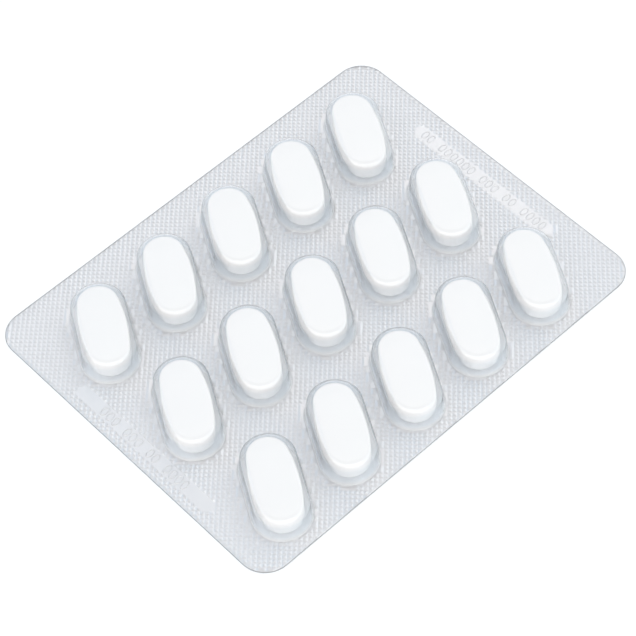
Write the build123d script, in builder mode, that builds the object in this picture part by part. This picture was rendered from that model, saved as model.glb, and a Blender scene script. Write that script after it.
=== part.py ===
"""Pill blister pack: a clear formed film, an aluminium lidding foil and fifteen oblong tablets.

Millimetres, +Z up. The pack lies on its foil, pockets up, with its long side along X
and the middle of its outline over the origin.
"""

import os
from math import cos, radians, sin, tan

from build123d import *

# Tablet: an oblong with gently bowed sides, a band between two shallow domes
tablet_length = 18.8
tablet_width = 9.0
tablet_side_radius = 30.5
tablet_band = 3.5
tablet_cup = 0.7

# Sheets: the film is drawn thinner where it is formed into pockets
foil_thickness = 0.03
film_thickness = 0.25
formed_thickness = 0.20

# Pocket: room round the tablet, walls that lean in so the film leaves its mould,
# and a sloping shoulder between wall and roof
side_room = 0.20
head_room = 0.20
wall_draft = 12.0
shoulder_slope = 45.0

# Layout: leaning pockets in columns and rows, with sealed land between them
pocket_columns = 5
pocket_rows = 3
pocket_lean = 29.0
column_land = 3.08
row_land = 3.7

# Edge of the pack: the punch falls a little off the middle of the pockets
margin_left = 6.3
margin_right = 7.85
margin_front = 2.5
margin_back = 5.9
corner_radius = 5.5

# Heights, from the foil up
film_top = foil_thickness + film_thickness
band_bottom = foil_thickness + tablet_cup
band_top = band_bottom + tablet_band
crown = band_top + tablet_cup
roof_inside = crown + head_room
roof_outside = roof_inside + formed_thickness

# Pocket outlines, as a distance out from the tablet: the inside turns in at the top
# of the tablet's band, and the outside keeps the same wall all the way round it
draft = radians(wall_draft)
slope = radians(shoulder_slope)
wall_across = formed_thickness / cos(draft)
corner_reach = formed_thickness / cos((slope - draft) / 2)
cavity_offset = side_room + (band_top - foil_thickness) * tan(draft)
pocket_offset = side_room + (band_top - film_top) * tan(draft) + wall_across
shoulder_offset = side_room + corner_reach * cos((slope + draft) / 2)
shoulder_bottom = band_top + corner_reach * sin((slope + draft) / 2)
pocket_length = tablet_length + 2 * pocket_offset
pocket_width = tablet_width + 2 * pocket_offset

# Each stage of a pocket: the level it starts from, its outline, its lean and its top
outside_stages = [
    (film_top, pocket_offset, wall_draft, shoulder_bottom),
    (shoulder_bottom, shoulder_offset, shoulder_slope, roof_outside),
]
inside_stages = [
    (foil_thickness, cavity_offset, wall_draft, band_top),
    (band_top, side_room, shoulder_slope, roof_inside),
]

# Pitch of the pockets and size of the sheet
lean = radians(pocket_lean)
reach_x = (pocket_length - pocket_width) * sin(lean) + pocket_width
reach_y = (pocket_length - pocket_width) * cos(lean) + pocket_width
column_pitch = (pocket_width + column_land) / cos(lean)
row_pitch = reach_y + row_land
pack_length = (pocket_columns - 1) * column_pitch + reach_x + margin_left + margin_right
pack_width = (pocket_rows - 1) * row_pitch + reach_y + margin_front + margin_back

# Places of the pockets, row by row from the front left
first_x = margin_left + reach_x / 2 - pack_length / 2
first_y = margin_front + reach_y / 2 - pack_width / 2
pocket_places = [
    Location((first_x + column * column_pitch, first_y + row * row_pitch, 0), (0, 0, 90 - pocket_lean))
    for row in range(pocket_rows)
    for column in range(pocket_columns)
]

os.makedirs("parts", exist_ok=True)


# Lidding foil: one flat sheet, punched together with the film
with BuildPart() as lidding_foil:
    with BuildSketch(Plane.XY):
        RectangleRounded(pack_length, pack_width, corner_radius)
    extrude(amount=foil_thickness)


# Blister film: a flat web, pockets raised from it and then hollowed to a thin wall
with BuildPart() as blister_film:
    with BuildSketch(Plane.XY.offset(foil_thickness)):
        RectangleRounded(pack_length, pack_width, corner_radius)
    extrude(amount=film_thickness)

    for level, offset_out, lean_in, top in outside_stages:
        with BuildSketch(Plane.XY.offset(level)):
            with Locations(*pocket_places):
                SlotOverall(tablet_length + 2 * offset_out, tablet_width + 2 * offset_out)
        extrude(amount=top - level, taper=lean_in)

    for level, offset_out, lean_in, top in inside_stages:
        with BuildSketch(Plane.XY.offset(level)):
            with Locations(*pocket_places):
                SlotOverall(tablet_length + 2 * offset_out, tablet_width + 2 * offset_out)
        extrude(amount=top - level, taper=lean_in, mode=Mode.SUBTRACT)


# Tablet die: two large circles leave a pointed oblong, and its tips are rounded off at the
# tablet's length by the one radius that does so
half_length = tablet_length / 2
side_centre = tablet_side_radius - tablet_width / 2
tip_square = tablet_side_radius**2 - side_centre**2 - half_length**2
tip_radius = tip_square / (2 * (tablet_side_radius - half_length))

with BuildSketch() as tablet_die:
    with Locations((0, side_centre)):
        Circle(tablet_side_radius)
    with Locations((0, -side_centre)):
        Circle(tablet_side_radius, mode=Mode.INTERSECT)
    fillet(tablet_die.vertices(), tip_radius)


# Punch cup: a round-ended roller, lying along the tablet, that leaves it a shallow dome
half_straight = (tablet_length - tablet_width) / 2
cup_radius = ((tablet_width / 2) ** 2 + tablet_cup**2) / (2 * tablet_cup)

with BuildPart() as punch_cup:
    Cylinder(cup_radius, 2 * half_straight, rotation=(0, 90, 0))
    with Locations((-half_straight, 0, 0), (half_straight, 0, 0)):
        Sphere(cup_radius, rotation=(90, 0, 0))


# Tablet: pressed in the die between an upper and a lower cup, lying on the foil
with BuildPart() as tablet:
    with BuildSketch(Plane.XY.offset(foil_thickness)):
        add(tablet_die.sketch)
    extrude(amount=crown - foil_thickness)
    for cup_level in (crown - cup_radius, foil_thickness + cup_radius):
        add(punch_cup.part.moved(Location((0, 0, cup_level))), mode=Mode.INTERSECT)


# One file for each piece
blister_film.part.label = "blister_film"
export_step(blister_film.part, "parts/blister_film.step")

lidding_foil.part.label = "lidding_foil"
export_step(lidding_foil.part, "parts/lidding_foil.step")

for number, place in enumerate(pocket_places, start=1):
    piece = tablet.part.moved(place)
    piece.label = f"tablet_{number:02d}"
    export_step(piece, f"parts/{piece.label}.step")

print(f"pack {pack_length:.2f} x {pack_width:.2f} x {roof_outside:.2f} mm")
print(f"pocket {pocket_length:.2f} x {pocket_width:.2f} mm, pitch {column_pitch:.2f} x {row_pitch:.2f} mm")
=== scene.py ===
# %% [markdown]
# # A pill blister pack
#
# The pack is three things: a clear film with fifteen formed pockets, an aluminium foil sealed to
# its flat side, and fifteen white oblong tablets lying loose in the pockets. The CAD model gives
# every size and place. This lesson dresses it: round bends in the film, the seal's knurl, the
# tablets' soft edges, and finishes that look like plastic, metal and tablet coating.

import math

import bmesh
import bpy
import numpy as np
from mathutils import Matrix, Vector
from mathutils.geometry import delaunay_2d_cdt


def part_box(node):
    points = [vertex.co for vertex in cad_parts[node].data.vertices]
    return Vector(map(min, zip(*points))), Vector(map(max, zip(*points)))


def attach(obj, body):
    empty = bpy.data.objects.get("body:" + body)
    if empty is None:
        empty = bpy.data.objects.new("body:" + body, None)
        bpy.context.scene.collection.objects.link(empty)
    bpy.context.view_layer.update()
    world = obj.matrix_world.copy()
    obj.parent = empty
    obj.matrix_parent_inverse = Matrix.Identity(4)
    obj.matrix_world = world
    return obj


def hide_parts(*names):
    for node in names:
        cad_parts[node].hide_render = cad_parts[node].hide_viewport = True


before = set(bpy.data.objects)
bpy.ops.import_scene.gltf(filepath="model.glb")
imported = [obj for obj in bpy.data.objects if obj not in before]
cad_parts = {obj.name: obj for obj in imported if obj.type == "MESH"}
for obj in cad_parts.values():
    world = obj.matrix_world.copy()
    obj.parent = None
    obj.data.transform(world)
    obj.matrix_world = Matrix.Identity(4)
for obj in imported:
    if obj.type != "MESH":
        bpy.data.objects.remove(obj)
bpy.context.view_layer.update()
print("frame:", len(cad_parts), "nodes")

# %% [markdown]
# ## Reading sizes from the frame
#
# Nothing is placed by eye. The boxes of the CAD nodes give the sheet, the foil's thickness and the
# middle of every tablet. A tablet leans, so a calliper is turned round one until it reads longest:
# that reading is the length, its direction is the lean, and the reading across it is the width.

# %% Measure the sheets and the tablets
MM = 0.001
foil_low, foil_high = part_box("lidding_foil")
_, film_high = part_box("blister_film")
tablet_nodes = sorted(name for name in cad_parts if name.startswith("tablet_"))
tablet_corners = np.array([vertex.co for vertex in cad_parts[tablet_nodes[0]].data.vertices])
CALLIPER_TURNS = np.radians(np.arange(0, 180, 0.1))


def calliper(angle):
    """How far the first tablet reaches along a level direction."""
    reach = tablet_corners[:, 0] * math.cos(angle) + tablet_corners[:, 1] * math.sin(angle)
    return float(reach.max() - reach.min())


turn = max(CALLIPER_TURNS, key=calliper)
tablet_length = calliper(turn)
tablet_width = calliper(turn + math.pi / 2)
half_straight = (tablet_length - tablet_width) / 2
middles = [sum(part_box(node), Vector()) / 2 for node in tablet_nodes]
tablet_low, tablet_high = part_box(tablet_nodes[0])
print(f"tablet {tablet_length / MM:.3f} x {tablet_width / MM:.3f} mm,",
      f"lean {90 - math.degrees(turn):.1f} degrees, crown at {tablet_high.z / MM:.3f} mm")

# %% [markdown]
# ## Oblong skins
#
# A pocket's outline is two half circles joined by straight sides. A lathe turns a profile round an
# axis. Here the profile goes round a short line instead, which keeps the wall the same all round. A
# profile is a list of (distance from that line, height). At distance 0 a ring closes to the line.

# %% The oblong lathe
ARC_STEPS = 30
STRAIGHT_STEPS = 2


def oblong_ring(distance, straight=None):
    """Points of one oblong ring, anticlockwise, with its long side along X."""
    half = half_straight if straight is None else straight
    ring = []
    for end in (1, -1):
        for step in range(ARC_STEPS + 1):
            angle = math.pi * (step / ARC_STEPS - 0.5) + (0 if end > 0 else math.pi)
            ring.append((end * half + distance * math.cos(angle), distance * math.sin(angle)))
        for step in range(1, STRAIGHT_STEPS):
            along = 1 - 2 * step / STRAIGHT_STEPS
            ring.append((end * half * along, end * distance))
    return ring


def oblong_skin(bm, profile):
    """Rings for every (distance, height) of a profile, joined by faces that look to its left."""
    rings = []
    for distance, height in profile:
        rings.append([bm.verts.new((x, y, height)) for x, y in oblong_ring(distance)])
    for lower, upper in zip(rings, rings[1:]):
        for i in range(len(lower)):
            j = (i + 1) % len(lower)
            bm.faces.new((lower[i], lower[j], upper[j], upper[i]))
    return rings


print("one ring has", len(oblong_ring(1.0)), "points")

# %% [markdown]
# ## Round corners in a profile
#
# Hot film and sprayed coating leave no sharp corner, so a profile is drawn with sharp corners first
# and then each is swapped for an arc. A Bevel modifier could do it too, but it rounds every edge of
# a mesh alike, and here each corner has its own radius. Two more helpers close a skin's poles and
# make an object of it.

# %% Arcs, poles and objects
SAME_POINT = 0.0005 * MM


def rounded(corners, radii, steps=8):
    """A profile with each inner corner replaced by an arc.

    A point close by on the straight each side of the arc keeps the straight parts flat where the
    surface is shaded smooth.
    """
    points = [Vector(corner) for corner in corners]
    profile = [points[0]]
    for before, corner, after, radius in zip(points, points[1:], points[2:], radii):
        come, go = (before - corner).normalized(), (after - corner).normalized()
        half_angle = come.angle(go) / 2
        reach = radius / math.tan(half_angle)
        centre = corner + (come + go).normalized() * radius / math.sin(half_angle)
        start, end = corner + come * reach - centre, corner + go * reach - centre
        sweep = math.pi - 2 * half_angle
        beside = 0.5 * radius * sweep / steps
        profile.append(corner + come * (reach + beside))
        for step in range(steps + 1):
            share = step / steps
            spoke = start * math.sin((1 - share) * sweep) + end * math.sin(share * sweep)
            profile.append(centre + spoke / math.sin(sweep))
        profile.append(corner + go * (reach + beside))
    profile.append(points[-1])
    return [tuple(point) for point in profile]


def tidy(bm):
    """Closes the poles of the skins and removes faces that have no area."""
    bmesh.ops.remove_doubles(bm, verts=bm.verts, dist=SAME_POINT)
    bmesh.ops.dissolve_degenerate(bm, edges=bm.edges, dist=SAME_POINT)


def as_object(bm, name):
    """A new object in the scene with the mesh that was built."""
    mesh = bpy.data.meshes.new(name)
    bm.to_mesh(mesh)
    bm.free()
    piece = bpy.data.objects.new(name, mesh)
    bpy.context.scene.collection.objects.link(piece)
    return piece


print("a rounded corner has", len(rounded([(1, 0), (0, 0), (0, 1)], [0.1])) - 2, "points")

# %% [markdown]
# ## Grain for the finishes
#
# There are five finishes: the tablets' white coat, bare foil, the same foil under its heat-seal
# lacquer, the clear film and the film's punched edge. Each has a fine unevenness, only of another
# size and stretch. So that is one node group, built once. It puts out a value on Object coordinates,
# and a material uses the value for roughness and bump.

# %% Shared grain
def node(tree, kind, place, **settings):
    """A new node of a tree, at its place on the page, with its settings."""
    made = tree.nodes.new(kind)
    made.location = place
    for key, value in settings.items():
        setattr(made, key, value)
    return made


grain = bpy.data.node_groups.new("Fine grain", "ShaderNodeTree")
size_socket = grain.interface.new_socket("Size", in_out="INPUT", socket_type="NodeSocketFloat")
size_socket.default_value = 0.1 * MM
stretch_socket = grain.interface.new_socket("Stretch", in_out="INPUT", socket_type="NodeSocketVector")
stretch_socket.default_value = (1, 1, 1)
grain.interface.new_socket("Grain", in_out="OUTPUT", socket_type="NodeSocketFloat")
grain_in = node(grain, "NodeGroupInput", (-800, 0))
grain_place = node(grain, "ShaderNodeTexCoord", (-800, 200))
grain_stretch = node(grain, "ShaderNodeVectorMath", (-600, 100), operation="MULTIPLY")
grain_count = node(grain, "ShaderNodeMath", (-600, -100), operation="DIVIDE")
grain_count.inputs[0].default_value = 1
grain_noise = node(grain, "ShaderNodeTexNoise", (-400, 0))
grain_noise.inputs["Detail"].default_value = 3
grain_out = node(grain, "NodeGroupOutput", (-200, 0))
for source, target in (
    (grain_place.outputs["Object"], grain_stretch.inputs[0]),
    (grain_in.outputs["Stretch"], grain_stretch.inputs[1]),
    (grain_in.outputs["Size"], grain_count.inputs[1]),
    (grain_stretch.outputs[0], grain_noise.inputs["Vector"]),
    (grain_count.outputs[0], grain_noise.inputs["Scale"]),
    (grain_noise.outputs["Fac"], grain_out.inputs["Grain"]),
):
    grain.links.new(source, target)
print("group:", grain.name, [socket.name for socket in grain.interface.items_tree])

# %% Helpers for finishes
GRAIN_LOW, GRAIN_HIGH = 0.3, 0.7


def material(name):
    """A new node material with its Principled shader."""
    made = bpy.data.materials.new(name)
    made.use_nodes = True
    return made, made.node_tree, made.node_tree.nodes["Principled BSDF"]


def grain_value(tree, size, stretch=(1, 1, 1)):
    """The shared grain in a material, with its own size and stretch."""
    made = node(tree, "ShaderNodeGroup", (-800, -200), node_tree=grain)
    made.inputs["Size"].default_value = size
    made.inputs["Stretch"].default_value = stretch
    return made.outputs["Grain"]


def roughen(tree, shader, value, low, high):
    """Lets a grain's middle range vary the roughness from low to high."""
    made = node(tree, "ShaderNodeMapRange", (-400, 0))
    made.inputs["From Min"].default_value = GRAIN_LOW
    made.inputs["From Max"].default_value = GRAIN_HIGH
    made.inputs["To Min"].default_value = low
    made.inputs["To Max"].default_value = high
    tree.links.new(value, made.inputs["Value"])
    tree.links.new(made.outputs["Result"], shader.inputs["Roughness"])


def emboss(tree, shader, value, strength, depth):
    """Lets a grain bump the surface."""
    made = node(tree, "ShaderNodeBump", (-400, -300))
    made.inputs["Strength"].default_value = strength
    made.inputs["Distance"].default_value = depth
    tree.links.new(value, made.inputs["Height"])
    tree.links.new(made.outputs["Normal"], shader.inputs["Normal"])


print("a finish uses the grain's values from", GRAIN_LOW, "to", GRAIN_HIGH)

# %% [markdown]
# ## Tablet coat
#
# Tablets are sprayed with a thin white coat, which dries with a faint orange peel and a low sheen.
# The peel could be modelled, but it is far finer than the mesh, so the grain lifts a very small bump
# and varies the roughness with it.

# %% Tablet coat
COAT_COLOUR = (0.872, 0.850, 0.834, 1)
COAT_ROUGHNESS = 0.42, 0.52
PEEL_SIZE = 0.25 * MM
PEEL_DEPTH = 0.01 * MM

coat, tree, shader = material("white_coat")
shader.inputs["Base Color"].default_value = COAT_COLOUR
shader.inputs["IOR"].default_value = 1.45
coat_peel = grain_value(tree, PEEL_SIZE)
roughen(tree, shader, coat_peel, *COAT_ROUGHNESS)
emboss(tree, shader, coat_peel, 0.15, PEEL_DEPTH)
print("finish:", coat.name)

# %% [markdown]
# ## Foil, bare and lacquered
#
# Sealed foil is bright, with fine lines from the rolling mill, so its grain is stretched along the
# sheet. A trace of melted lacquer stays on it, and it is a little less than all metal. Inside the
# pockets the lacquer was never melted and the same foil is matt. There it is also a lighter colour,
# which is painted light that lifts the shade round the tablets. Two materials are simpler here than
# one with a mask, because the border between them is an edge of the mesh.

# %% Bare foil
FOIL_COLOUR = (0.895, 0.882, 0.885, 1)
FOIL_METAL = 0.85
FOIL_ROUGHNESS = 0.28, 0.35
ROLL_SIZE, ROLL_STRETCH = 0.2 * MM, (0.05, 1, 1)
ROLL_DEPTH = 0.004 * MM

foil_metal, tree, shader = material("bare_foil")
shader.inputs["Base Color"].default_value = FOIL_COLOUR
shader.inputs["Metallic"].default_value = FOIL_METAL
roll_lines = grain_value(tree, ROLL_SIZE, ROLL_STRETCH)
roughen(tree, shader, roll_lines, *FOIL_ROUGHNESS)
emboss(tree, shader, roll_lines, 0.1, ROLL_DEPTH)
print("finish:", foil_metal.name)

# %% Lacquered foil, lighter by painted light
# The lacquer colour, lighter than the bare foil, is painted light that lifts the shade in the pockets;
# the matt roughness is the lacquer's own.
LACQUER_PAINTED_LIGHT_COLOUR = (0.94, 0.94, 0.94, 1)
LACQUER_ROUGHNESS = 0.60, 0.75
LACQUER_SIZE, LACQUER_STRETCH = 0.3 * MM, (0.2, 1, 1)

lacquered_and_lit, tree, shader = material("lacquered_foil")
shader.inputs["Base Color"].default_value = LACQUER_PAINTED_LIGHT_COLOUR
shader.inputs["Metallic"].default_value = 1
lacquer_lines = grain_value(tree, LACQUER_SIZE, LACQUER_STRETCH)
roughen(tree, shader, lacquer_lines, *LACQUER_ROUGHNESS)
emboss(tree, shader, lacquer_lines, 0.1, ROLL_DEPTH)
print("finish:", lacquered_and_lit.name)

# %% [markdown]
# ## Clear film
#
# The film is clear plastic: full transmission and a plastic's index of refraction. The flat web and
# the roof have a faint tint of their own. The walls of a pocket get a bluer, darker tint, which is
# painted shade of the pockets' sides, and they are hazier than the flat web and the roof. Both follow
# the height above the foil, so the Z of the Object coordinates drives a tint and a roughness. A slow
# wave in the bump keeps the sheet from looking like window glass.

# %% Clear film
# The wall tint is painted shade: the walls are tinted bluer and darker than flat film for the pockets'
# shaded sides.
FLAT_TINT, WALL_SHADE_TINT = (0.988, 0.994, 1, 1), (0.915, 0.96, 1, 1)
FILM_TINTS_AND_WALL_SHADE = ((0.05, FLAT_TINT), (0.25, WALL_SHADE_TINT), (0.70, WALL_SHADE_TINT), (0.90, FLAT_TINT))
HAZE_FROM, HAZE_TO = 0.5 * MM, 2.5 * MM
FLAT_ROUGHNESS, WALL_ROUGHNESS = 0.04, 0.13
WAVE_SIZE, WAVE_DEPTH = 4 * MM, 0.05 * MM

clear, tree, shader = material("clear_plastic")
shader.inputs["IOR"].default_value = 1.5
shader.inputs["Transmission Weight"].default_value = 1
film_place = node(tree, "ShaderNodeTexCoord", (-800, 200))
film_height = node(tree, "ShaderNodeSeparateXYZ", (-600, 200))
film_share = node(tree, "ShaderNodeMath", (-500, 450), operation="DIVIDE")
film_share.inputs[1].default_value = film_high.z
film_tint_with_shade = node(tree, "ShaderNodeValToRGB", (-300, 450))
while len(film_tint_with_shade.color_ramp.elements) < len(FILM_TINTS_AND_WALL_SHADE):
    film_tint_with_shade.color_ramp.elements.new(0.5)
for stop, (share, tint) in zip(film_tint_with_shade.color_ramp.elements, FILM_TINTS_AND_WALL_SHADE):
    stop.position, stop.color = share, tint
film_haze = node(tree, "ShaderNodeMapRange", (-400, 200))
film_haze.inputs["From Min"].default_value = HAZE_FROM
film_haze.inputs["From Max"].default_value = HAZE_TO
film_haze.inputs["To Min"].default_value = FLAT_ROUGHNESS
film_haze.inputs["To Max"].default_value = WALL_ROUGHNESS
for source, target in (
    (film_place.outputs["Object"], film_height.inputs["Vector"]),
    (film_height.outputs["Z"], film_share.inputs[0]),
    (film_share.outputs["Value"], film_tint_with_shade.inputs["Fac"]),
    (film_tint_with_shade.outputs["Color"], shader.inputs["Base Color"]),
    (film_height.outputs["Z"], film_haze.inputs["Value"]),
    (film_haze.outputs["Result"], shader.inputs["Roughness"]),
):
    tree.links.new(source, target)
emboss(tree, shader, grain_value(tree, WAVE_SIZE), 0.2, WAVE_DEPTH)
print("finish:", clear.name, "with", len(FILM_TINTS_AND_WALL_SHADE), "tints by height")

# %% [markdown]
# ## Punched edge
#
# The punch shears film and foil together and leaves a dull cut. The thin grey line round the pack is
# painted shade: the few faces of the cut get a dark grey colour, where clear plastic would show white
# paper instead. Their roughness and the marks that run down the cut are the cut's own.

# %% Punched edge
# The cut colour is painted shade: dark grey, to draw the line round the pack.
CUT_SHADE_COLOUR = (0.30, 0.30, 0.31, 1)
CUT_ROUGHNESS = 0.5, 0.8
MARK_SIZE, MARK_STRETCH = 0.3 * MM, (1, 1, 0.1)
MARK_DEPTH = 0.02 * MM

punched, tree, shader = material("punched_edge")
shader.inputs["Base Color"].default_value = CUT_SHADE_COLOUR
shader.inputs["IOR"].default_value = 1.5
cut_marks = grain_value(tree, MARK_SIZE, MARK_STRETCH)
roughen(tree, shader, cut_marks, *CUT_ROUGHNESS)
emboss(tree, shader, cut_marks, 0.3, MARK_DEPTH)
print("finish:", punched.name)

# %% [markdown]
# ## Tablets
#
# A tablet is pressed in a die whose sides bow gently out, between two punches with shallow cups.
# That leaves a band with a dome above and below it. The CAD tablet has a sharp edge where dome
# meets band. The coating rounds that edge. So the outline is walked round first, and at every
# point of it a spoke from the middle line carries the profile: dome, small arc, band.

# %% Outline of the die
SIDE_RADIUS = 30.5 * MM
SIDE_STEPS = 16
TIP_STEPS = 22
half_width, half_length = tablet_width / 2, tablet_length / 2
side_centre = SIDE_RADIUS - half_width
tip_radius = (SIDE_RADIUS**2 - side_centre**2 - half_length**2) / (2 * (SIDE_RADIUS - half_length))
tip_centre = half_length - tip_radius
side_sweep = math.atan2(tip_centre, side_centre)


def die_outline():
    """Points of the tablet's outline, anticlockwise, with its long side along X."""
    points = []
    for half_turn in (0, math.pi):
        for step in range(TIP_STEPS):
            angle = (math.pi / 2 - side_sweep) * (2 * step / TIP_STEPS - 1)
            x, y = tip_centre + tip_radius * math.cos(angle), tip_radius * math.sin(angle)
            points.append((x, y) if half_turn == 0 else (-x, -y))
        for step in range(SIDE_STEPS):
            angle = side_sweep * (1 - 2 * step / SIDE_STEPS)
            x, y = SIDE_RADIUS * math.sin(angle), SIDE_RADIUS * math.cos(angle) - side_centre
            points.append((x, y) if half_turn == 0 else (-x, -y))
    return points


print(f"die: {len(die_outline())} points, tip radius {tip_radius / MM:.2f} mm")

# %% Profile of a tablet
TABLET_CUP = 0.7 * MM
EDGE_ROUND = 0.45 * MM
DOME_RINGS = 10
dome_radius = (half_width**2 + TABLET_CUP**2) / (2 * TABLET_CUP)


def dome_drop(distance):
    """How far the dome lies below its crown at a distance from the tablet's middle line."""
    return dome_radius - math.sqrt(dome_radius**2 - distance**2)


def tablet_profile(low, high, reach):
    """Middle of the underside, up round the band at its reach, to the middle of the top."""
    inner = reach - 2 * EDGE_ROUND
    rings = [inner * ring / DOME_RINGS for ring in range(DOME_RINGS)]
    under = [(distance, low + dome_drop(distance)) for distance in rings]
    corners = [
        (inner, low + dome_drop(inner)),
        (reach, low + dome_drop(reach)),
        (reach, high - dome_drop(reach)),
        (inner, high - dome_drop(inner)),
    ]
    over = [(distance, high - dome_drop(distance)) for distance in reversed(rings)]
    return under + rounded(corners, (EDGE_ROUND, EDGE_ROUND)) + over


print(f"dome of radius {dome_radius / MM:.2f} mm, a profile of",
      len(tablet_profile(tablet_low.z, tablet_high.z, half_width)), "points")


# %% Coated tablets
def press_tablet(name, middle):
    """One coated tablet, with its middle over a point of the sheet."""
    bm = bmesh.new()
    spokes = []
    for x, y in die_outline():
        foot = Vector((max(-half_straight, min(half_straight, x)), 0))
        reach = (Vector((x, y)) - foot).length
        out = (Vector((x, y)) - foot) / reach
        spokes.append([
            bm.verts.new((foot.x + out.x * distance, out.y * distance, height))
            for distance, height in tablet_profile(tablet_low.z, tablet_high.z, reach)
        ])
    for spoke, following in zip(spokes, spokes[1:] + spokes[:1]):
        for i in range(len(spoke) - 1):
            bm.faces.new((spoke[i], following[i], following[i + 1], spoke[i + 1]))
    tidy(bm)
    bm.transform(Matrix.Translation((middle.x, middle.y, 0)) @ Matrix.Rotation(turn, 4, "Z"))
    piece = as_object(bm, name)
    piece.data.shade_smooth()
    piece.data.materials.append(coat)
    return piece


tablets = []
for node_name, middle in zip(tablet_nodes, middles):
    tablet = press_tablet("coated_" + node_name, middle)
    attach(tablet, "root")
    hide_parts(node_name)
    tablets.append(tablet)
print(len(tablets), "tablets of", len(tablets[0].data.polygons), "faces")

# %% [markdown]
# ## Film
#
# The film is formed hot into a mould, so its bends are round and its wall is drawn thin in the
# pockets. A pocket leans in from a foot on the web to a sloping shoulder and a flat roof. The
# shoulder here is a little fuller than a plain draft gives, as a hot film is when it is blown out
# against its mould. One pocket is made as two skins, outside and inside. A Geometry Nodes tree
# sets it at every tablet and welds it to the flat web, a filled outline with fifteen holes.

# %% Pocket profile
FILM_THICKNESS = 0.25 * MM
FORMED_THICKNESS = 0.20 * MM
DRAWN_THICKNESS = 0.10 * MM
SIDE_ROOM = 0.20 * MM
WALL_DRAFT = math.radians(12)
SHOULDER_SLOPE = math.radians(45)
FOOT_ROUND = 0.25 * MM
SHOULDER_ROUND = 1.3 * MM
SHOULDER_FULLNESS = 0.35 * MM
ROOF_DOME = 0.05 * MM
FOOT_LAND = 0.9 * MM

film_top = foil_high.z + FILM_THICKNESS
seal_level = (foil_low.z + foil_high.z) / 2
band_top = tablet_high.z - TABLET_CUP
roof_outside = film_high.z
roof_inside = roof_outside - DRAWN_THICKNESS
corner_angle = (SHOULDER_SLOPE + WALL_DRAFT) / 2


def corner_step(thickness):
    """From the inner to the outer corner of a shoulder, out and up, through a film this thick."""
    reach = thickness / math.cos((SHOULDER_SLOPE - WALL_DRAFT) / 2)
    return Vector((reach * math.cos(corner_angle), reach * math.sin(corner_angle)))


mould_corner = Vector((half_width + SIDE_ROOM, band_top)) + corner_step(FORMED_THICKNESS)
pocket_foot = mould_corner.x + (mould_corner.y - film_top) * math.tan(WALL_DRAFT)
outer_corner = mould_corner + Vector((SHOULDER_FULLNESS, 0))
inner_corner = outer_corner - corner_step(DRAWN_THICKNESS)
pocket_roof = outer_corner.x - (roof_outside - outer_corner.y) * math.tan(SHOULDER_SLOPE)
cavity_foot = half_width + SIDE_ROOM + (band_top - seal_level) * math.tan(WALL_DRAFT)
cavity_roof = inner_corner.x - (roof_inside - inner_corner.y) * math.tan(SHOULDER_SLOPE)

outside = rounded(
    [
        (pocket_foot + FOOT_LAND, film_top),
        (pocket_foot, film_top),
        tuple(outer_corner),
        (pocket_roof, roof_outside - ROOF_DOME),
        (0, roof_outside),
    ],
    (FOOT_ROUND, SHOULDER_ROUND, SHOULDER_ROUND),
)
inside = rounded(
    [
        (pocket_foot + FOOT_LAND, seal_level),
        (cavity_foot, seal_level),
        tuple(inner_corner),
        (cavity_roof, roof_inside - ROOF_DOME),
        (0, roof_inside),
    ],
    (FOOT_ROUND + FILM_THICKNESS, SHOULDER_ROUND - DRAWN_THICKNESS, SHOULDER_ROUND - DRAWN_THICKNESS),
)

bm = bmesh.new()
oblong_skin(bm, outside)
oblong_skin(bm, inside[::-1])
tidy(bm)
pocket = as_object(bm, "formed_pocket")
pocket.data.shade_smooth()
print(f"pocket {2 * pocket_foot / MM:.2f} mm wide, {len(pocket.data.polygons)} faces")

# %% [markdown]
# ## Filled outlines
#
# Film and foil are flat sheets with the same round-cornered outline and fifteen oblongs in it. A
# Boolean modifier could cut the oblongs out, but then it isn't known which point is which. A flat
# triangulation that is told which lines to keep leaves every point at its place in the list, and
# the knurl needs that later.

# %% Outlines on the sheet
CORNER_RADIUS = 5.5 * MM
CORNER_STEPS = 16
FILL_TOLERANCE = 0.001 * MM


def sheet_outline(inset=0.0):
    """The punched outline, anticlockwise, with round corners."""
    radius = CORNER_RADIUS - inset
    points = []
    for quarter, (side_x, side_y) in enumerate(((1, 1), (-1, 1), (-1, -1), (1, -1))):
        centre_x = side_x * (foil_high.x - CORNER_RADIUS)
        centre_y = side_y * (foil_high.y - CORNER_RADIUS)
        for step in range(CORNER_STEPS + 1):
            angle = math.pi / 2 * (quarter + step / CORNER_STEPS)
            points.append((centre_x + radius * math.cos(angle), centre_y + radius * math.sin(angle)))
    return points


def placed(ring, middle, angle):
    """A ring of flat points, turned and moved to its place."""
    spot = Matrix.Translation((middle.x, middle.y, 0)) @ Matrix.Rotation(angle, 4, "Z")
    return [tuple((spot @ Vector((x, y, 0))).xy) for x, y in ring]


def fill(loops, points=(), lines=()):
    """Triangles that join loops of flat points, and loose points with the lines between them."""
    flat, edges = [], []
    for loop in loops:
        first = len(flat)
        flat += loop
        edges += [(first + i, first + (i + 1) % len(loop)) for i in range(len(loop))]
    first = len(flat)
    flat += points
    edges += [(first + a, first + b) for a, b in lines]
    points_in = [Vector(point) for point in flat]
    points_out, _, triangles, *_ = delaunay_2d_cdt(points_in, edges, [], 0, FILL_TOLERANCE)
    return [tuple(point) for point in points_out], triangles


print(f"sheet {2 * foil_high.x / MM:.2f} x {2 * foil_high.y / MM:.2f} mm,",
      f"outline of {len(sheet_outline())} points")

# %% [markdown]
# ## Web of the film
#
# The web is two flat faces, above and below, joined by the punched cut, whose upper edge is slightly
# broken. Each face is a filled outline, and triangles that lie inside a pocket's hole are left out:
# those are the ones whose three corners belong to the same hole.

# %% Flat web of the film
EDGE_BEVEL = 0.04 * MM


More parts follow.
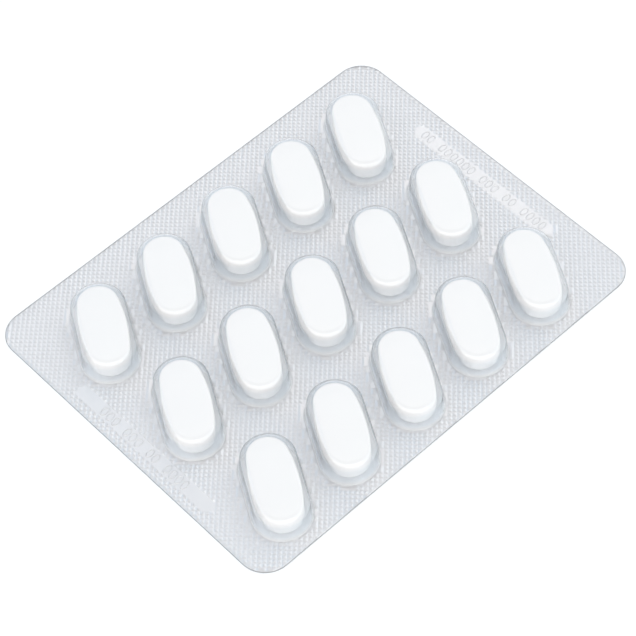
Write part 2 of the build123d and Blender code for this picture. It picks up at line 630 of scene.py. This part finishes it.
def off_edge(points):
    """Distance of flat points inside the punched outline."""
    inner = np.array((foil_high.x - CORNER_RADIUS, foil_high.y - CORNER_RADIUS))
    beyond = np.abs(points) - inner
    return CORNER_RADIUS - np.hypot(*np.maximum(beyond, 0).T) - np.minimum(beyond.max(1), 0)


def web_skin(bm, level, inset):
    """One flat face of the web with a hole for every pocket; gives the ring of its outer edge."""
    outline = sheet_outline(inset)
    hole = oblong_ring(pocket_foot + FOOT_LAND)
    flat, triangles = fill([outline] + [placed(hole, middle, turn) for middle in middles])
    loop_of = [0] * len(outline) + [1 + i // len(hole) for i in range(len(hole) * len(middles))]
    corners = [bm.verts.new((x, y, level)) for x, y in flat]
    for triangle in triangles:
        owners = {loop_of[i] for i in triangle}
        if len(owners) > 1 or owners == {0}:
            face = bm.faces.new([corners[i] for i in triangle])
            face.normal_update()
            if (face.normal.z > 0) != (level == film_top):
                face.normal_flip()
    for corner in [c for c in corners if not c.link_faces]:
        bm.verts.remove(corner)
    return corners[:len(outline)]


def wall_between(bm, lower, upper):
    """Faces between two rings of as many points each."""
    for i in range(len(lower)):
        j = (i + 1) % len(lower)
        bm.faces.new((lower[i], lower[j], upper[j], upper[i]))


bm = bmesh.new()
top_edge = web_skin(bm, film_top, EDGE_BEVEL)
low_edge = web_skin(bm, seal_level, 0)
cut_edge = [bm.verts.new((x, y, film_top - EDGE_BEVEL)) for x, y in sheet_outline()]
wall_between(bm, low_edge, cut_edge)
wall_between(bm, cut_edge, top_edge)
film = as_object(bm, "formed_film")
print("web:", len(film.data.polygons), "faces")

# %% [markdown]
# ## Pockets on the web
#
# The mould has fifteen equal cavities, so one pocket is set fifteen times. That is what Geometry
# Nodes are for: points carry the places, Instance on Points puts the pocket there, and Merge by
# Distance welds its rim to the hole in the web. Realize Instances makes it plain mesh. Copies made
# by hand would look the same, but then every later change is made fifteen times.

# %% Geometry Nodes helpers
def new_tree(name, inputs):
    """An empty Geometry Nodes tree with named inputs."""
    tree = bpy.data.node_groups.new(name, "GeometryNodeTree")
    tree.interface.new_socket("Geometry", in_out="INPUT", socket_type="NodeSocketGeometry")
    for label, kind in inputs.items():
        tree.interface.new_socket(label, in_out="INPUT", socket_type="NodeSocket" + kind)
    tree.interface.new_socket("Geometry", in_out="OUTPUT", socket_type="NodeSocketGeometry")
    return tree, node(tree, "NodeGroupInput", (-900, 0)), node(tree, "NodeGroupOutput", (900, 0))


def grow(piece, tree, values):
    """Runs a tree on a piece with its inputs set, and leaves a plain mesh."""
    modifier = piece.modifiers.new(tree.name, "NODES")
    modifier.node_group = tree
    for socket in tree.interface.items_tree:
        if socket.in_out == "INPUT" and socket.name in values:
            modifier[socket.identifier] = values[socket.name]
    bpy.context.view_layer.update()
    graph = bpy.context.evaluated_depsgraph_get()
    made = bpy.data.meshes.new_from_object(piece.evaluated_get(graph), depsgraph=graph)
    piece.modifiers.clear()
    piece.data = made
    made.name = piece.name
    print(tree.name, "made", len(made.polygons), "faces")


# %% Tree that sets the pockets
setting, given, result = new_tree("Set pockets", {
    "Pocket": "Object", "Places": "Object", "Turn": "Float", "Weld": "Float", "Finish": "Material",
})
pocket_info = node(setting, "GeometryNodeObjectInfo", (-600, -200))
places_info = node(setting, "GeometryNodeObjectInfo", (-600, 200))
turned = node(setting, "ShaderNodeCombineXYZ", (-600, -400))
instances = node(setting, "GeometryNodeInstanceOnPoints", (-300, 0))
realized = node(setting, "GeometryNodeRealizeInstances", (-100, 0))
joined = node(setting, "GeometryNodeJoinGeometry", (100, 0))
welded = node(setting, "GeometryNodeMergeByDistance", (300, 0))
finished = node(setting, "GeometryNodeSetMaterial", (500, 0))
for source, target in (
    (given.outputs["Pocket"], pocket_info.inputs["Object"]),
    (given.outputs["Places"], places_info.inputs["Object"]),
    (given.outputs["Turn"], turned.inputs["Z"]),
    (places_info.outputs["Geometry"], instances.inputs["Points"]),
    (pocket_info.outputs["Geometry"], instances.inputs["Instance"]),
    (turned.outputs["Vector"], instances.inputs["Rotation"]),
    (instances.outputs["Instances"], realized.inputs["Geometry"]),
    (realized.outputs["Geometry"], joined.inputs["Geometry"]),
    (given.outputs["Geometry"], joined.inputs["Geometry"]),
    (joined.outputs["Geometry"], welded.inputs["Geometry"]),
    (given.outputs["Weld"], welded.inputs["Distance"]),
    (welded.outputs["Geometry"], finished.inputs["Geometry"]),
    (given.outputs["Finish"], finished.inputs["Material"]),
    (finished.outputs["Geometry"], result.inputs["Geometry"]),
):
    setting.links.new(source, target)
print("tree:", setting.name, "with", len(setting.nodes), "nodes")

# %% Pockets set on the web
WELD_DISTANCE = 0.002 * MM

bm = bmesh.new()
for middle in middles:
    bm.verts.new((middle.x, middle.y, 0))
places = as_object(bm, "pocket_places")
grow(film, setting, {
    "Pocket": pocket, "Places": places, "Turn": turn, "Weld": WELD_DISTANCE, "Finish": clear,
})
for helper in (pocket, places):
    bpy.data.objects.remove(helper)

# %% [markdown]
# ## Finish of the film
#
# The film is shaded smooth, except across the punched edge. The cut is found by its distance from
# the outline. Clear film throws no real shadow on what it covers, but a renderer's straight shadow
# rays would stop at it, so the film is left out of shadows and of light that is spread by tablets.

# %% Smooth film with a cut in painted shade
SHARP_ANGLE = math.radians(30)
CUT_REACH = 0.75 * EDGE_BEVEL

film.data.shade_smooth()
film.data.set_sharp_from_angle(angle=SHARP_ANGLE)
film.data.materials.clear()
for finish in (clear, punched):
    film.data.materials.append(finish)
face_middles = np.array([face.center.xy for face in film.data.polygons])
for face, distance in zip(film.data.polygons, off_edge(face_middles)):
    face.material_index = int(distance < CUT_REACH)
film.visible_shadow = False
film.visible_diffuse = False
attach(film, "root")
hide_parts("blister_film")
print("film:", sum(face.material_index for face in film.data.polygons), "faces of the cut")

# %% [markdown]
# ## Foil
#
# A hot plate with a pattern of small pyramids presses foil and film together. Its pattern shows
# through the film as a knurl, turned 45 degrees to the edges. It stops short of the pockets and
# leaves two plain strips for stamped digits. Under a pocket nothing presses, so the foil lies a
# step lower there and its dull lacquer stays bare. The sheet is filled so that every pyramid has
# its corners and its tip as points, and a Geometry Nodes tree then lifts the tips and gives the
# pressed and the unpressed faces their finishes.

# %% Lattice of the knurl
KNURL_PITCH = 0.89 * MM
KNURL_HEIGHT = 0.10 * MM
SEAL_GAP = 0.36 * MM
SEAL_LIFT = 0.05 * MM
STEP_WIDTH = 0.15 * MM
PLATE_ACROSS = 0.08 * MM
PLATE_ALONG = 0.17 * MM
STRIP_REACH = 44.2 * MM
STRIP_LENGTH = 37 * MM
STRIP_WIDTH = 2.8 * MM
CLEAR_OF_LINE = 0.12 * MM

pattern_middle = sum(middles, Vector()) / len(middles)
strip_half = (STRIP_LENGTH - STRIP_WIDTH) / 2
strip_middles = [
    Vector((pattern_middle.x + side * STRIP_REACH, pattern_middle.y, 0)) for side in (-1, 1)
]
plate_shift = Vector((PLATE_ALONG, PLATE_ACROSS, 0))
plate_shift.rotate(Matrix.Rotation(turn, 3, "Z"))
plate_holes = [(middle + plate_shift, turn, half_straight, pocket_foot + SEAL_GAP) for middle in middles]
plain_strips = [(middle, math.pi / 2, strip_half, STRIP_WIDTH / 2) for middle in strip_middles]
plain_zones = plate_holes + plain_strips


def off_oblong(points, zone):
    """Distance of flat points outside an oblong zone."""
    middle, angle, half, distance = zone
    x, y = points[:, 0] - middle.x, points[:, 1] - middle.y
    along = x * math.cos(angle) + y * math.sin(angle)
    across = y * math.cos(angle) - x * math.sin(angle)
    return np.hypot(along - np.clip(along, -half, half), across) - distance


count = int((foil_high.x + foil_high.y) / KNURL_PITCH)
steps = np.arange(-count, count + 1)
rows, columns = np.meshgrid(steps, steps, indexing="ij")
whole_cells = np.stack([rows, columns], -1).reshape(-1, 2)
half_cells = np.concatenate([whole_cells + shift for shift in (0.0, 0.5)])
diagonals = np.stack([half_cells[:, 0] - half_cells[:, 1], half_cells.sum(1)], -1)
lattice = diagonals * KNURL_PITCH / math.sqrt(2)
is_tip = half_cells[:, 0] % 1 > 0
kept = off_edge(lattice) > CLEAR_OF_LINE
for zone in plain_zones:
    kept &= off_oblong(lattice, zone) > CLEAR_OF_LINE
index = {tuple(cell): i for i, cell in enumerate(half_cells[kept])}
cell_lines = [
    (i, index[other])
    for cell, i in index.items()
    if cell[0] % 1 == 0
    for other in ((cell[0] + 1, cell[1]), (cell[0], cell[1] + 1))
    if other in index
]
print(int(is_tip[kept].sum()), "pyramids")

# %% [markdown]
# ## Sheet of the foil
#
# The foil has an upper and a lower face of the same triangles. Long edges are divided first, since
# thin triangles along them would show as lines in the metal. Two values are stored on the mesh for
# the tree that follows: how far each point is lifted, which is less on the back, and which faces
# lie under a pocket.

# %% Foil sheet
LONGEST_EDGE = 0.6 * MM
EDGE_GAP = 0.01 * MM
BACK_SHARE = 0.12


def divided(loop):
    """A closed loop of flat points with its long edges cut into short ones."""
    points = []
    for a, b in zip(loop, loop[1:] + loop[:1]):
        cuts = math.ceil(math.dist(a, b) / LONGEST_EDGE)
        points += [tuple(np.array(a) + (np.array(b) - np.array(a)) * cut / cuts) for cut in range(cuts)]
    return points


def zone_ring(middle, angle, half, distance):
    """The outline of an oblong zone at its place on the sheet."""
    return divided(placed(oblong_ring(distance, half), middle, angle))


outline = divided(sheet_outline(EDGE_GAP))
unsealed = [zone_ring(middle, turn, half_straight, pocket_foot) for middle in middles]
lifted = [zone_ring(middle, turn, half_straight, pocket_foot + STEP_WIDTH) for middle in middles]
pressed = [zone_ring(*zone) for zone in plain_strips]
rings = unsealed + lifted + pressed
flat, triangles = fill([outline] + rings, [tuple(point) for point in lattice[kept]], cell_lines)
first_cell = len(outline) + sum(len(ring) for ring in rings)
print("points added where lines cross:", len(flat) - first_cell - int(kept.sum()))
tips = set((np.flatnonzero(is_tip[kept]) + first_cell).tolist())
low_points = range(len(outline), len(outline) + sum(len(ring) for ring in unsealed))

bm = bmesh.new()
tip_layer = bm.verts.layers.float.new("tip")
unsealed_layer = bm.faces.layers.bool.new("unsealed")
pressed_level = foil_high.z + SEAL_LIFT
levels = [foil_high.z if i in low_points else pressed_level for i in range(len(flat))]
upper = [bm.verts.new((x, y, level)) for (x, y), level in zip(flat, levels)]
lower = [bm.verts.new((x, y, foil_low.z)) for x, y in flat]
for i in tips:
    upper[i][tip_layer], lower[i][tip_layer] = 1, BACK_SHARE
for triangle in triangles:
    bm.faces.new([lower[i] for i in reversed(triangle)])
    face = bm.faces.new([upper[i] for i in triangle])
    face[unsealed_layer] = all(i in low_points for i in triangle)
wall_between(bm, lower[:len(outline)], upper[:len(outline)])
bmesh.ops.recalc_face_normals(bm, faces=bm.faces)
foil = as_object(bm, "sealed_foil")
print("sheet:", len(foil.data.polygons), "faces")

# %% [markdown]
# ## Pressing the knurl
#
# The plate lifts every tip by the same height. A short tree reads the stored value, multiplies it
# by one height and moves the points. The height is its named input, so a deeper or shallower seal
# is one number. The tree also gives the sealed and the unsealed faces their finishes.

# %% Knurl pressed into the foil
pressing, given, result = new_tree("Press knurl", {
    "Height": "Float", "Sealed": "Material", "Unsealed": "Material",
})
tip_field = node(pressing, "GeometryNodeInputNamedAttribute", (-600, -200), data_type="FLOAT")
tip_field.inputs["Name"].default_value = "tip"
lift = node(pressing, "ShaderNodeMath", (-400, -200), operation="MULTIPLY")
lift_up = node(pressing, "ShaderNodeCombineXYZ", (-200, -200))
raised = node(pressing, "GeometryNodeSetPosition", (0, 0))
whole = node(pressing, "GeometryNodeRealizeInstances", (200, 0))
unsealed_field = node(pressing, "GeometryNodeInputNamedAttribute", (200, -300), data_type="BOOLEAN")
unsealed_field.inputs["Name"].default_value = "unsealed"
bared = node(pressing, "GeometryNodeSetMaterial", (400, 0))
coated = node(pressing, "GeometryNodeSetMaterial", (600, 0))
for source, target in (
    (tip_field.outputs["Attribute"], lift.inputs[0]),
    (given.outputs["Height"], lift.inputs[1]),
    (lift.outputs["Value"], lift_up.inputs["Z"]),
    (given.outputs["Geometry"], raised.inputs["Geometry"]),
    (lift_up.outputs["Vector"], raised.inputs["Offset"]),
    (raised.outputs["Geometry"], whole.inputs["Geometry"]),
    (whole.outputs["Geometry"], bared.inputs["Geometry"]),
    (given.outputs["Sealed"], bared.inputs["Material"]),
    (bared.outputs["Geometry"], coated.inputs["Geometry"]),
    (unsealed_field.outputs["Attribute"], coated.inputs["Selection"]),
    (given.outputs["Unsealed"], coated.inputs["Material"]),
    (coated.outputs["Geometry"], result.inputs["Geometry"]),
):
    pressing.links.new(source, target)
grow(foil, pressing, {"Height": KNURL_HEIGHT, "Sealed": foil_metal, "Unsealed": lacquered_and_lit})
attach(foil, "root")
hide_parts("lidding_foil")
used = sorted({face.material_index for face in foil.data.polygons})
print("foil:", [foil.data.materials[i].name for i in used])

# %% [markdown]
# ## Stamped digits
#
# A packer stamps a date code into the two plain strips. Here the code is only zeros, which name
# nothing. A zero is an oval line swept with a small round section. A Geometry Nodes tree sets one
# on every point of a row, with a part of its section sunk into the foil.

# %% Places of the digits
DIGIT_PITCH = 1.6 * MM
DIGIT_RISE = 0.045 * MM
DIGIT_GROUPS = {-1: (3, 3, 2, 4), 1: (2, 6, 3, 2, 4)}

bm = bmesh.new()
for side, middle in zip((-1, 1), strip_middles):
    groups = DIGIT_GROUPS[side]
    places_in_row = sum(groups) + len(groups) - 1
    place = 0
    for group in groups:
        for _ in range(group):
            along = (places_in_row - 1) / 2 - place
            bm.verts.new((middle.x, middle.y + along * DIGIT_PITCH, pressed_level + DIGIT_RISE))
            place += 1
        place += 1
digits = as_object(bm, "stamped_digits")
print(len(digits.data.vertices), "digits")

# %% Tree that stamps the digits
OVAL_POINTS = 20
SECTION_POINTS = 6

stamping, given, result = new_tree("Stamp digits", {
    "Tall": "Float", "Wide": "Float", "Stroke": "Float", "Finish": "Material",
})
oval = node(stamping, "GeometryNodeCurvePrimitiveCircle", (-700, 200))
oval.inputs["Resolution"].default_value = OVAL_POINTS
oval.inputs["Radius"].default_value = 0.5
oval_size = node(stamping, "ShaderNodeCombineXYZ", (-700, -100))
oval_size.inputs["Z"].default_value = 1
sized = node(stamping, "GeometryNodeTransform", (-500, 100))
half_stroke = node(stamping, "ShaderNodeMath", (-700, -300), operation="MULTIPLY")
half_stroke.inputs[1].default_value = 0.5
section = node(stamping, "GeometryNodeCurvePrimitiveCircle", (-500, -200))
section.inputs["Resolution"].default_value = SECTION_POINTS
swept = node(stamping, "GeometryNodeCurveToMesh", (-300, 0))
set_down = node(stamping, "GeometryNodeInstanceOnPoints", (-100, 0))
realized = node(stamping, "GeometryNodeRealizeInstances", (100, 0))
finished = node(stamping, "GeometryNodeSetMaterial", (300, 0))
for source, target in (
    (given.outputs["Tall"], oval_size.inputs["X"]),
    (given.outputs["Wide"], oval_size.inputs["Y"]),
    (oval.outputs["Curve"], sized.inputs["Geometry"]),
    (oval_size.outputs["Vector"], sized.inputs["Scale"]),
    (given.outputs["Stroke"], half_stroke.inputs[0]),
    (half_stroke.outputs["Value"], section.inputs["Radius"]),
    (sized.outputs["Geometry"], swept.inputs["Curve"]),
    (section.outputs["Curve"], swept.inputs["Profile Curve"]),
    (given.outputs["Geometry"], set_down.inputs["Points"]),
    (swept.outputs["Mesh"], set_down.inputs["Instance"]),
    (set_down.outputs["Instances"], realized.inputs["Geometry"]),
    (realized.outputs["Geometry"], finished.inputs["Geometry"]),
    (given.outputs["Finish"], finished.inputs["Material"]),
    (finished.outputs["Geometry"], result.inputs["Geometry"]),
):
    stamping.links.new(source, target)
print("tree:", stamping.name, "with", len(stamping.nodes), "nodes")

# %% Stamped digits
DIGIT_TALL = 1.9 * MM
DIGIT_WIDE = 1.05 * MM
DIGIT_STROKE = 0.24 * MM

grow(digits, stamping, {
    "Tall": DIGIT_TALL, "Wide": DIGIT_WIDE, "Stroke": DIGIT_STROKE, "Finish": foil_metal,
})
digits.data.shade_smooth()
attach(digits, "root")
print("digits:", [finish.name for finish in digits.data.materials if finish])

# %% [markdown]
# ## Floor
#
# The pack lies on white paper. A wide grid a hair below the foil is enough.

# %% Floor
FLOOR_SIZE = 4.0
FLOOR_GAP = 0.02 * MM

bpy.ops.mesh.primitive_grid_add(x_subdivisions=4, y_subdivisions=4, size=FLOOR_SIZE)
floor = bpy.context.object
floor.name = "studio_floor"
floor.location.z = foil_low.z - FLOOR_GAP
paper, tree, shader = material("pale_paper")
shader.inputs["Base Color"].default_value = (0.98, 0.98, 0.98, 1)
shader.inputs["Roughness"].default_value = 0.9
floor.data.materials.append(paper)
print(f"floor {FLOOR_SIZE} m wide, at {floor.location.z / MM:.2f} mm")

# %% [markdown]
# ## Camera
#
# The camera stands where the photograph was taken from: in front of the pack, to one side, and
# looking well down on it through a long lens. Its three axes are worked out from those angles and
# a small roll, because axes say exactly what they do, and then its place is stepped back along them.

# %% Camera
VIEW_AZIMUTH = math.radians(-40.20)
VIEW_ELEVATION = math.radians(54.92)
VIEW_ROLL = math.radians(-3.79)
VIEW_DISTANCE = 476.9 * MM
VIEW_SIDE = -0.30 * MM
VIEW_RISE = 3.03 * MM
PICTURE_WIDTH = 636
FOCAL_PIXELS = 2504
SENSOR_WIDTH = 36


def direction(azimuth, elevation):
    """From the pack towards a point of the studio: azimuth 0 is in front, along -Y."""
    flat = math.cos(elevation)
    return Vector((math.sin(azimuth) * flat, -math.cos(azimuth) * flat, math.sin(elevation)))


back = direction(VIEW_AZIMUTH, VIEW_ELEVATION)
level_right = Vector((math.cos(VIEW_AZIMUTH), math.sin(VIEW_AZIMUTH), 0))
level_up = back.cross(level_right)
right = level_right * math.cos(VIEW_ROLL) + level_up * math.sin(VIEW_ROLL)
up = level_up * math.cos(VIEW_ROLL) - level_right * math.sin(VIEW_ROLL)
lens = bpy.data.cameras.new("photo_camera")
lens.sensor_width = SENSOR_WIDTH
lens.lens = FOCAL_PIXELS / PICTURE_WIDTH * SENSOR_WIDTH
lens.clip_start = 10 * MM
camera = bpy.data.objects.new("photo_camera", lens)
camera.matrix_world = Matrix((right, up, back)).transposed().to_4x4()
camera.location = back * VIEW_DISTANCE - right * VIEW_SIDE - up * VIEW_RISE
scene = bpy.context.scene
scene.collection.objects.link(camera)
scene.camera = camera
print(f"lens {lens.lens:.1f} mm, camera {camera.location.length / MM:.0f} mm from the pack")

# %% [markdown]
# ## Light
#
# A shiny pack shows its surroundings more than its lamps. So it lies in a white tent, with a grey
# card overhead and two bluish cards at the sides. The facets of the knurl and the pocket walls
# mirror those cards, and that draws them. A long lamp in front puts a small shine on the bends. The
# tent is the world's colour, multiplied down softly round the direction of each card. A ray passes
# many skins of clear film here, so more bounces are allowed than usual.

# %% Tent and cards
TENT_STRENGTH = 1.26
# For each card: its direction, the degrees within which it is full, those past which it ends, its tone
CARDS = {
    "overhead": (direction(VIEW_AZIMUTH, math.radians(90)), 12, 36, (0.41, 0.41, 0.41, 1)),
    "far left": (Vector((-0.11, 0.70, 0.70)), 4, 34, (0.46, 0.60, 0.74, 1)),
    "right": (direction(VIEW_AZIMUTH + math.pi / 2, math.radians(38)), 8, 42, (0.80, 0.92, 1, 1)),
}

scene.view_settings.view_transform = "Standard"
scene.cycles.max_bounces = 24
scene.cycles.glossy_bounces = 16
scene.cycles.transmission_bounces = 24
world = bpy.data.worlds.new("light_tent")
scene.world = world
world.use_nodes = True
tree = world.node_tree
background = tree.nodes["Background"]
tent_place = node(tree, "ShaderNodeTexCoord", (-1300, 0))


def hang_card(below, axis, inner, outer, tone, place):
    """Darkens the tent's colour round a direction, fully within inner degrees and not past outer."""
    facing = node(tree, "ShaderNodeVectorMath", place, operation="DOT_PRODUCT")
    facing.inputs[1].default_value = axis.normalized()
    x, y = place
    share = node(tree, "ShaderNodeMapRange", (x + 200, y), interpolation_type="SMOOTHSTEP")
    share.inputs["From Min"].default_value = math.cos(math.radians(outer))
    share.inputs["From Max"].default_value = math.cos(math.radians(inner))
    card = node(tree, "ShaderNodeMix", (x + 400, y), data_type="RGBA", blend_type="MULTIPLY")
    card.inputs["A"].default_value = (1, 1, 1, 1)
    card.inputs["B"].default_value = tone
    tree.links.new(tent_place.outputs["Generated"], facing.inputs[0])
    tree.links.new(facing.outputs["Value"], share.inputs["Value"])
    tree.links.new(share.outputs["Result"], card.inputs["Factor"])
    if below is not None:
        tree.links.new(below, card.inputs["A"])
    return card.outputs["Result"]


tent = None
for step, card in enumerate(CARDS.values()):
    tent = hang_card(tent, *card, (-1100, 300 - 300 * step))
tree.links.new(tent, background.inputs["Color"])
background.inputs["Strength"].default_value = TENT_STRENGTH
print("tent with cards:", ", ".join(CARDS))

# %% Strip lamp
LAMP_ELEVATION = math.radians(54)
LAMP_DISTANCE = 0.9
LAMP_LONG, LAMP_WIDE = 1.4, 0.1
LAMP_POWER = 1.0

lamp = bpy.data.lights.new("strip_lamp", "AREA")
lamp.shape = "RECTANGLE"
lamp.size, lamp.size_y = LAMP_LONG, LAMP_WIDE
lamp.energy = LAMP_POWER
lamp_object = bpy.data.objects.new("strip_lamp", lamp)
lamp_back = direction(VIEW_AZIMUTH, LAMP_ELEVATION)
lamp_axes = Matrix((level_right, lamp_back.cross(level_right), lamp_back))
lamp_object.matrix_world = lamp_axes.transposed().to_4x4()
lamp_object.location = lamp_back * LAMP_DISTANCE
scene.collection.objects.link(lamp_object)
print(f"lamp {LAMP_LONG} x {LAMP_WIDE} m, {lamp.energy} W")
